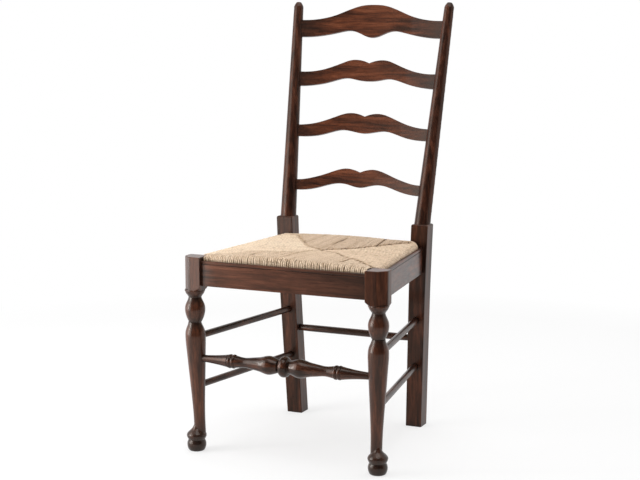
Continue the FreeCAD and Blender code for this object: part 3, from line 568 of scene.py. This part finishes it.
def between(points, value, key=0):
    """The other coordinate on a line of points, at this value of the key coordinate."""
    line = sorted((p[key], p[1 - key]) for p in points)
    if value <= line[0][0]:
        return line[0][1]
    for (a, low), (b, high) in zip(line, line[1:]):
        if value <= b:
            return low + (high - low) * (value - a) / (b - a)
    return line[-1][1]


def side_x(y):
    """Right edge of the seat at this depth."""
    return seat_high.x - side_draw_in * (y - notch_y)


def crown_z(x):
    """Top of the rush at this distance from the middle."""
    return seat_high.z - crown_radius + math.sqrt(crown_radius ** 2 - x * x)


def inset(x, y):
    """How far a point in plan is inside the seat's rounded outline."""
    side = (side_x(y) - abs(x)) * math.cos(math.atan(side_draw_in))
    back = back_y - y
    if side < seat_corner_round and back < seat_corner_round:
        return seat_corner_round - math.hypot(seat_corner_round - side, seat_corner_round - back)
    return min(side, back, y - front_y)


def opened(line, y):
    """How open a parting is at this depth: 0 at its ends, and 1 well between them."""
    depths = [p[1] for p in line]
    return min(1.0, max(0.0, min(y - min(depths), max(depths) - y) / parting_fade))


def parting(x, y, lines):
    """Sideways push of the strands on both sides of the lines where the weave has parted."""
    push = 0.0
    for line in lines:
        off = x - between(line, y, 1)
        push += math.copysign(parting_push, off) * math.exp(-abs(off) / parting_reach) * opened(line, y)
    return push


def gap_shade_and_dirt(x, y, lines):
    """How dark the strands are beside the lines where the weave has parted: painted shade in the gap, and
    dirt.
    """
    shade_and_dirt = 0.0
    for line in lines:
        off = x - between(line, y, 1)
        shade_and_dirt = max(shade_and_dirt, math.exp(-(off / gap_shade_and_dirt_reach) ** 2) * opened(line, y))
    return shade_and_dirt


def depth_along(at, depth, limit=0.07, halvings=24):
    """Distance along a strand's line at which its outer side is this far inside the outline."""
    low, high = 0.0, limit
    for _ in range(halvings):
        middle = 0.5 * (low + high)
        if inset(*at(middle)) - strand_half_height < depth:
            low = middle
        else:
            high = middle
    return high


def strand_path(at, length):
    """Centre line of one strand: out of the mitre, over the edge and back underneath."""
    roll = seat_roll - strand_half_height
    roll_start = depth_along(at, roll)
    length = max(length, roll_start + dive_start)
    face_end = length - dive_start
    under_end = length - under_turn
    edge_z = crown_z(at(roll_start)[0]) - strand_half_height
    low_z = seat_low.z + strand_half_height
    turns = [math.radians(90.0 * i / roll_steps) for i in range(1, roll_steps + 1)]
    path = []

    def put(distance, z):
        path.append((*at(distance), z))

    def top_z(distance):
        return crown_z(at(distance)[0]) - strand_half_height

    for past, share in dive_points:
        put(length + past, top_z(length) - share * strand_dive)
    steps = max(1, round((face_end - roll_start) / strand_step))
    for step in range(1, steps + 1):
        distance = face_end - (face_end - roll_start) * step / steps
        put(distance, top_z(distance))
    for turn in turns:
        put(depth_along(at, roll * (1 - math.sin(turn))), edge_z - roll * (1 - math.cos(turn)))
    for turn in reversed(turns):
        put(depth_along(at, roll * (1 - math.sin(turn))), low_z + roll * (1 - math.cos(turn)))
    steps = max(1, round((length - roll_start) / under_step))
    for step in range(steps + 1):
        put(roll_start + (under_end - roll_start) * step / steps, low_z)
    put(length + under_turn, low_z + strand_dive)
    return [Vector(p) for p in path]


def sweep(path, across_direction, tone_and_shade, width, sheet, lines):
    """Adds one twisted strand along its path to the lists of a sheet of strands."""
    verts, faces, uvs, tones_and_shade = sheet
    first = len(verts)
    phase = rng.random() * 2 * math.pi
    run = 0.0
    runs = []
    for i, point in enumerate(path):
        before = path[max(i - 1, 0)]
        after = path[min(i + 1, len(path) - 1)]
        tangent = (after - before).normalized()
        side = (across_direction - tangent * across_direction.dot(tangent)).normalized()
        normal = tangent.cross(side)
        run += (point - before).length
        runs.append(run)
        twist = phase + 2 * math.pi * run / twist_length
        # Painted shade, with dirt, beside partings; painted shade where a strand dives into its mitre.
        shade_and_dirt = max(gap_shade_and_dirt(point.x, point.y - leg_y, lines), end_shade if i < len(dive_points) else 0.0)
        for j in range(strand_sides):
            angle = 2 * math.pi * j / strand_sides
            swell = 1 + twist_depth * math.cos(leaves * angle - twist)
            spoke = side * (width * math.cos(angle)) + normal * (strand_half_height * math.sin(angle))
            verts.append(point + spoke * swell)
            tones_and_shade.append(tone_and_shade - shade_and_dirt)
    for i in range(len(path) - 1):
        for j in range(strand_sides):
            k = (j + 1) % strand_sides
            a = first + i * strand_sides
            b = a + strand_sides
            faces.append((a + j, a + k, b + k, b + j))
            for step, turn in ((i, j), (i, j + 1), (i + 1, j + 1), (i + 1, j)):
                uvs += (runs[step] / twist_length, turn / strand_sides)
    last = first + (len(path) - 1) * strand_sides
    for ring in (list(range(first, first + strand_sides))[::-1], list(range(last, last + strand_sides))):
        faces.append(ring)
        uvs += [0.0, 0.0] * strand_sides


def strand_panel(name, count, line, across_direction, light, rush, lines=()):
    """One quarter of the seat: a row of strands laid side by side along a rail."""
    sheet = ([], [], [], [])
    for i in range(count):
        at, length = line((i + 0.5) / count)
        length -= rng.uniform(*ragged)
        wave = rng.uniform(*wander_wave)
        phase = rng.random() * wander_phase
        sway = strand_wander * rng.uniform(*wander_spread)

        def wandering(distance, at=at, wave=wave, phase=phase, sway=sway):
            x, y = at(distance)
            off = sway * math.sin(2 * math.pi * distance / wave + phase)
            return x + across_direction.x * off, y + across_direction.y * off

        tone_and_shade = min(1.0, max(0.0, rng.gauss(light, tone_spread)))
        width = strand_half_width * rng.uniform(*width_spread)
        sweep(strand_path(wandering, length), across_direction, tone_and_shade, width, sheet, lines)
    verts, faces, uvs, tones_and_shade = sheet
    panel = mesh_object(name, verts, faces)
    layer = panel.data.uv_layers.new(name="strand")
    layer.data.foreach_set("uv", uvs)
    # The tone attribute holds each strand's own tone, lessened by painted shade beside partings and at the
    # mitres.
    tone_and_shade_layer = panel.data.attributes.new("tone_and_shade", "FLOAT", "POINT")
    tone_and_shade_layer.data.foreach_set("value", tones_and_shade)
    panel.data.materials.append(rush)
    return panel


def crossing(at, reached, start=0.012, limit=0.3, step=0.001):
    """Distance along a strand's line at which it reaches its mitre."""
    distance = start
    while distance < limit and not reached(*at(distance)):
        distance += step
    return distance


def front_line(share):
    """Line of a front strand: from the front edge back to the mitre, leaning to the right."""
    start = -notch_x + 2 * notch_x * share
    lean = front_lean * math.exp(-((start - lean_middle) / lean_width) ** 2)

    def at(distance):
        y = front_y + distance
        x = start + lean * (distance / lean_length) ** lean_curve
        return x + parting(x, y - leg_y, front_partings), y

    mitre = mitre_front_left + mitre_front_right
    return at, crossing(at, lambda x, y: y - leg_y >= between(mitre, x))


def back_line(share):
    """Line of a back strand: from the back edge forwards to the mitre, spreading outwards."""
    half = side_x(back_y) - back_end_clear
    start = -half + 2 * half * share
    slope = back_lean + back_spread * start

    def at(distance):
        y = back_y - distance
        x = start + slope * distance
        return x + parting(x, y - leg_y, back_partings), y

    mitre = mitre_back_left + mitre_back_right
    length = crossing(at, lambda x, y: y - leg_y <= between(mitre, x))
    return at, length - (slit if start > slit_start else 0.0)


def side_line(side):
    """Lines of the side strands: from the side edge across to the mitre."""
    front, back = (mitre_front_right, mitre_back_right) if side > 0 else (mitre_front_left, mitre_back_left)
    mitre = front + back

    def line(share):
        y = notch_y + (back_y - side_end_clear - notch_y) * share
        inner = between(mitre, y - leg_y, 1)
        edge_x = side * side_x(y)

        def at(distance):
            return edge_x - side * distance, y

        return at, abs(edge_x - inner)

    return line


def seat_packing():
    """Closed form just under the strands, so that the seat is full between them."""
    rows = []
    roll = seat_roll - packing_depth
    depth = back_y - front_y - 2 * packing_depth
    for j in range(packing_rows + 1):
        y = front_y + (packing_depth + 0.5 * depth * (1 - math.cos(math.pi * j / packing_rows)))
        if y < notch_y + packing_depth:
            half = notch_x - packing_depth
        else:
            half = side_x(y) - packing_depth
            corner = seat_corner_round - packing_depth
            into = seat_corner_round - (back_y - y)
            if into > 0:
                half = side_x(y) - seat_corner_round + math.sqrt(max(0.0, corner ** 2 - into ** 2))
        top = []
        bottom = []
        for i in range(packing_columns + 1):
            x = -half * math.cos(math.pi * i / packing_columns)
            off = max(0.0, roll - max(0.0, inset(x, y) - packing_depth))
            drop = roll - math.sqrt(roll ** 2 - off ** 2)
            top.append(Vector((x, y, crown_z(x) - packing_depth - drop)))
            bottom.append(Vector((x, y, seat_low.z + packing_depth + drop)))
        rows.append(top + bottom[::-1])
    verts = [p for row in rows for p in row]
    loop = len(rows[0])
    faces = []
    for j in range(len(rows) - 1):
        for i in range(loop):
            k = (i + 1) % loop
            faces.append((j * loop + i, (j + 1) * loop + i, (j + 1) * loop + k, j * loop + k))
    faces.append(list(range(loop)))
    faces.append(list(range(len(verts) - loop, len(verts)))[::-1])
    packing = mesh_object("rush_packing", verts, faces)
    packing.data.materials.append(packing_material())
    return packing


def weave_seat():
    """The four panels of strands and their packing, which ride on the drop-in seat."""
    rush = rush_material()
    front_count = round(2 * notch_x / strand_pitch)
    back_count = round(2 * side_x(back_y) / strand_pitch)
    side_count = round((back_y - notch_y) / strand_pitch)
    sideways = Vector((1, 0, 0))
    lengthways = Vector((0, 1, 0))
    pieces = [
        strand_panel("rush_front", front_count, front_line, sideways, front_tone_and_shade, rush, front_partings),
        strand_panel("rush_back", back_count, back_line, sideways, back_tone_and_shade, rush, back_partings),
        strand_panel("rush_left", side_count, side_line(-1), lengthways, left_tone_and_shade, rush),
        strand_panel("rush_right", side_count, side_line(1), lengthways, right_tone_and_shade, rush),
        seat_packing(),
    ]
    for piece in pieces:
        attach(piece, "seat")
        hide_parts("rush_seat")


# Studio

# Lamps: name, place, what it faces, width, height and watts
lamps = (
    ("key", (-1.557, -1.174, 1.0), (0.0, 0.0, 1.0), 1.7, 1.96, 33.0),
    ("overhead", (0.2, -0.3, 2.7), (0.0, 0.0, 0.4), 1.8, 1.8, 22.5),
    ("strip", (-1.36, -1.08, 0.6), (0.0, 0.0, 0.4), 0.2, 0.8, 7.0),
    ("fill", (0.9, -1.9, 3.1), (0.0, 0.0, 0.5), 1.4, 1.0, 14.0),
)

# Room: levels of its light, and the slopes of the direction between which they change
room_levels = (0.22, 1.0)    # from the camera's side and from the back
room_turn = (-0.35, 0.35)
top_levels = (0.0, 0.25)     # added from the sides and from overhead
top_turn = (0.25, 0.9)

# Floor
floor_reach = 9.0
floor_sides = 48
floor_white = 0.68           # share of plain white in the floor as it is seen
shadow_fade = (0.8, 2.0)     # from the first distance to the second it turns plain white

# Screens: name, first and last turn in degrees from -Y towards +X, lower and upper edge
screens = (
    ("screen", -29.0, 85.0, 0.002, 2.9),
    ("upper_screen", -40.0, -29.0, 1.25, 2.9),
)
screen_radius = 2.05
screen_steps = 24

# Camera
camera_sensor = 36.0         # millimetres, as is the lens
camera_lens = 87.38
camera_place = (1.5857, -3.5752, 1.1265)
camera_down = 8.972          # degrees below the level
camera_turn = 24.3           # degrees round to the left of straight back


def softbox(name, place, target, width, height, power):
    """A soft rectangular lamp that faces its target."""
    lamp = bpy.data.lights.new(name, "AREA")
    lamp.shape = "RECTANGLE"
    lamp.size = width
    lamp.size_y = height
    lamp.energy = power
    box = link(bpy.data.objects.new(name, lamp))
    box.location = place
    box.rotation_euler = (Vector(target) - Vector(place)).to_track_quat("-Z", "Y").to_euler()


def seen_ray(tree):
    """One for the rays that show the background: to the camera, in a reflection or through glass."""
    path = add(tree, "LightPath").outputs
    shown = math_node(tree, "MAXIMUM", path["Is Camera Ray"], path["Is Glossy Ray"])
    return math_node(tree, "MAXIMUM", shown, path["Is Transmission Ray"])


def studio_world():
    """White as it is seen. As a light it is full from behind the chair and dim from the camera's side."""
    world = bpy.data.worlds.new("studio")
    bpy.context.scene.world = world
    world.use_nodes = True
    tree = world.node_tree
    background = tree.nodes["Background"]
    way = add(tree, "SeparateXYZ", {0: add(tree, "TexCoord").outputs["Generated"]}).outputs
    level = spread(tree, way[1], room_turn, room_levels)
    level = math_node(tree, "ADD", level, spread(tree, way[2], top_turn, top_levels))
    strength = add(tree, "Mix", {0: seen_ray(tree), 2: level, 3: 1.0}).outputs[0]
    tree.links.new(strength, background.inputs["Strength"])
    background.inputs["Color"].default_value = (1.0, 1.0, 1.0, 1.0)


def studio_floor():
    """Pale floor that takes the shadows near the chair and is plain white further out."""
    turns = [2 * math.pi * i / floor_sides for i in range(floor_sides)]
    verts = [(0.0, 0.0, 0.0)]
    verts += [(floor_reach * math.cos(turn), floor_reach * math.sin(turn), 0.0) for turn in turns]
    faces = [(0, 1 + i, 1 + (i + 1) % floor_sides) for i in range(floor_sides)]
    floor = mesh_object("floor", verts, faces, False)
    material, tree, shader = new_material("floor")
    away = add(tree, "VectorMath", {0: object_place(tree)}, operation="LENGTH").outputs["Value"]
    white = add(tree, "Emission", {"Color": (1.0, 1.0, 1.0, 1.0), "Strength": 1.0})
    share = times(tree, seen_ray(tree), floor_white)
    share = math_node(tree, "MAXIMUM", share, spread(tree, away, shadow_fade))
    shader.inputs["Base Color"].default_value = (0.88, 0.88, 0.88, 1.0)
    shader.inputs["Roughness"].default_value = 0.9
    blend = add(tree, "MixShader", {0: share, 1: shader.outputs[0], 2: white.outputs[0]})
    tree.links.new(blend.outputs[0], tree.nodes["Material Output"].inputs["Surface"])
    floor.data.materials.append(material)


def dark_cloth():
    """Nearly black cloth of the screens."""
    material, tree, shader = new_material("dark_cloth")
    weave = add(tree, "TexNoise", {"Scale": 400.0}).outputs[0]
    black = ramp(tree, weave, ((0.3, (0.012, 0.012, 0.012)), (0.7, (0.03, 0.03, 0.03))))
    tree.links.new(black, shader.inputs["Base Color"])
    shader.inputs["Roughness"].default_value = 1.0
    return material


def dark_screen(name, first, last, low, high, cloth):
    """Curved dark screen on the camera side, which keeps the white room out of the polish."""
    verts = []
    for i in range(screen_steps + 1):
        turn = math.radians(first + (last - first) * i / screen_steps)
        x = screen_radius * math.sin(turn)
        y = -screen_radius * math.cos(turn)
        verts += [(x, y, low), (x, y, high)]
    faces = [(2 * i, 2 * i + 2, 2 * i + 3, 2 * i + 1) for i in range(screen_steps)]
    screen = mesh_object(name, verts, faces)
    screen.data.materials.append(cloth)
    screen.visible_camera = False
    screen.visible_shadow = False


def studio_camera():
    """Camera where the reference view was taken from."""
    data = bpy.data.cameras.new("camera")
    data.sensor_width = camera_sensor
    data.lens = camera_lens
    camera = link(bpy.data.objects.new("camera", data))
    camera.location = camera_place
    camera.rotation_euler = (math.radians(90.0 - camera_down), 0.0, math.radians(camera_turn))
    bpy.context.scene.camera = camera


def studio():
    for lamp in lamps:
        softbox(*lamp)
    studio_world()
    studio_floor()
    cloth = dark_cloth()
    for screen in screens:
        dark_screen(*screen, cloth)
    studio_camera()
    bpy.context.scene.view_settings.view_transform = "Standard"


studio()
dress_wood()
weave_seat()
